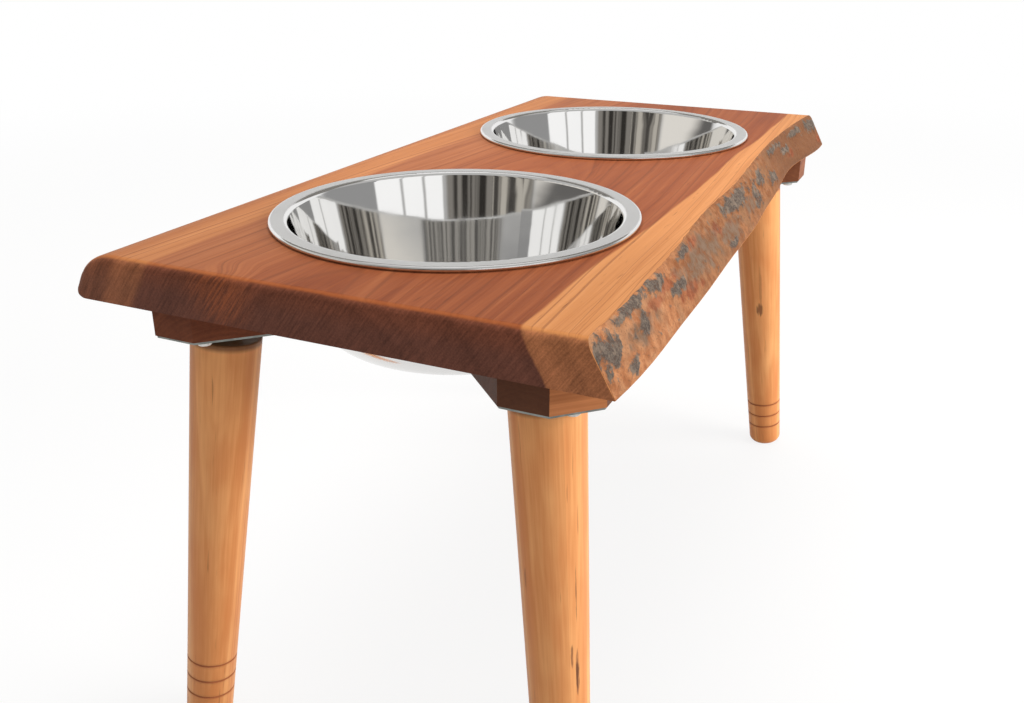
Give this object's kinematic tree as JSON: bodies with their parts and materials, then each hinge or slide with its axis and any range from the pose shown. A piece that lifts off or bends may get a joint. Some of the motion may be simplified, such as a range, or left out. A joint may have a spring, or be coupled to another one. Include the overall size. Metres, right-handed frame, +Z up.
{
  "type": "dog bowl stand",
  "caption": "Raised feeding stand for a dog: a thick live-edge wooden slab holds polished steel bowls by their rims, on splayed round tapered legs that screw into corner plates.",
  "frame": {"origin": "on the floor, under the middle of the stand's bounding box", "axes": "+X along the slab from the left bowl to the right bowl, -Y towards the live edge, +Z up"},
  "size_m": [0.577, 0.2998, 0.3098],
  "materials": {
    "slab_wood": "oiled reddish-brown heartwood with a pale sapwood band and bark on the live edge",
    "block_wood": "oiled reddish-brown hardwood",
    "leg_wood": "satin pale hardwood with burned rings",
    "bowl_steel": "mirror polished inside, satin rim",
    "zinc_plate": "zinc plated",
    "screw_steel": "zinc plated",
    "bolt_steel": "zinc plated"
  },
  "bodies": {
    "stand": {"slab": "slab_wood", "front_left_mount_block": "block_wood", "front_left_leg_plate": "zinc_plate", "front_left_plate_hub": "zinc_plate", "front_left_plate_screws": "screw_steel", "back_left_mount_block": "block_wood", "back_left_leg_plate": "zinc_plate", "back_left_plate_hub": "zinc_plate", "back_left_plate_screws": "screw_steel", "front_right_mount_block": "block_wood", "front_right_leg_plate": "zinc_plate", "front_right_plate_hub": "zinc_plate", "front_right_plate_screws": "screw_steel", "back_right_mount_block": "block_wood", "back_right_leg_plate": "zinc_plate", "back_right_plate_hub": "zinc_plate", "back_right_plate_screws": "screw_steel"},
    "left_bowl": {"left_bowl": "bowl_steel"},
    "right_bowl": {"right_bowl": "bowl_steel"},
    "front_left_bolt": {"front_left_hanger_bolt": "bolt_steel"},
    "front_left_leg": {"front_left_leg": "leg_wood"},
    "back_left_bolt": {"back_left_hanger_bolt": "bolt_steel"},
    "back_left_leg": {"back_left_leg": "leg_wood"},
    "front_right_bolt": {"front_right_hanger_bolt": "bolt_steel"},
    "front_right_leg": {"front_right_leg": "leg_wood"},
    "back_right_bolt": {"back_right_hanger_bolt": "bolt_steel"},
    "back_right_leg": {"back_right_leg": "leg_wood"}
  },
  "joints": [
    {"name": "left_bowl_lift", "type": "slide", "parent": "stand", "child": "left_bowl", "axis": [0, 0, 1], "range_m": [0, 0.08]},
    {"name": "right_bowl_lift", "type": "slide", "parent": "stand", "child": "right_bowl", "axis": [0, 0, 1], "range_m": [0, 0.08]},
    {"name": "front_left_bolt_travel", "type": "slide", "parent": "stand", "child": "front_left_bolt", "axis": [-0.1021, -0.1021, -0.9895], "range_m": [0, 0.01975]},
    {"name": "front_left_leg_turn", "type": "hinge", "parent": "front_left_bolt", "child": "front_left_leg", "pos_m": [-0.24187, -0.0985, 0.25334], "axis": [-0.1021, -0.1021, -0.9895], "range_deg": [0, 5040]},
    {"name": "back_left_bolt_travel", "type": "slide", "parent": "stand", "child": "back_left_bolt", "axis": [-0.1021, 0.1021, -0.9895], "range_m": [0, 0.01975]},
    {"name": "back_left_leg_turn", "type": "hinge", "parent": "back_left_bolt", "child": "back_left_leg", "pos_m": [-0.2418, 0.09384, 0.25334], "axis": [-0.1021, 0.1021, -0.9895], "range_deg": [0, 5040]},
    {"name": "front_right_bolt_travel", "type": "slide", "parent": "stand", "child": "front_right_bolt", "axis": [0.1021, -0.1021, -0.9895], "range_m": [0, 0.01975]},
    {"name": "front_right_leg_turn", "type": "hinge", "parent": "front_right_bolt", "child": "front_right_leg", "pos_m": [0.22782, -0.09627, 0.25334], "axis": [0.1021, -0.1021, -0.9895], "range_deg": [0, 5040]},
    {"name": "back_right_bolt_travel", "type": "slide", "parent": "stand", "child": "back_right_bolt", "axis": [0.1021, 0.1021, -0.9895], "range_m": [0, 0.01975]},
    {"name": "back_right_leg_turn", "type": "hinge", "parent": "back_right_bolt", "child": "back_right_leg", "pos_m": [0.22965, 0.09571, 0.25334], "axis": [0.1021, 0.1021, -0.9895], "range_deg": [0, 5040]}
  ],
  "couplings": [
    {"joint": "front_left_leg_turn", "follows": "front_left_bolt_travel", "rad_per_m": 4452.7},
    {"joint": "back_left_leg_turn", "follows": "back_left_bolt_travel", "rad_per_m": 4452.7},
    {"joint": "front_right_leg_turn", "follows": "front_right_bolt_travel", "rad_per_m": 4452.7},
    {"joint": "back_right_leg_turn", "follows": "back_right_bolt_travel", "rad_per_m": 4452.7}
  ]
}
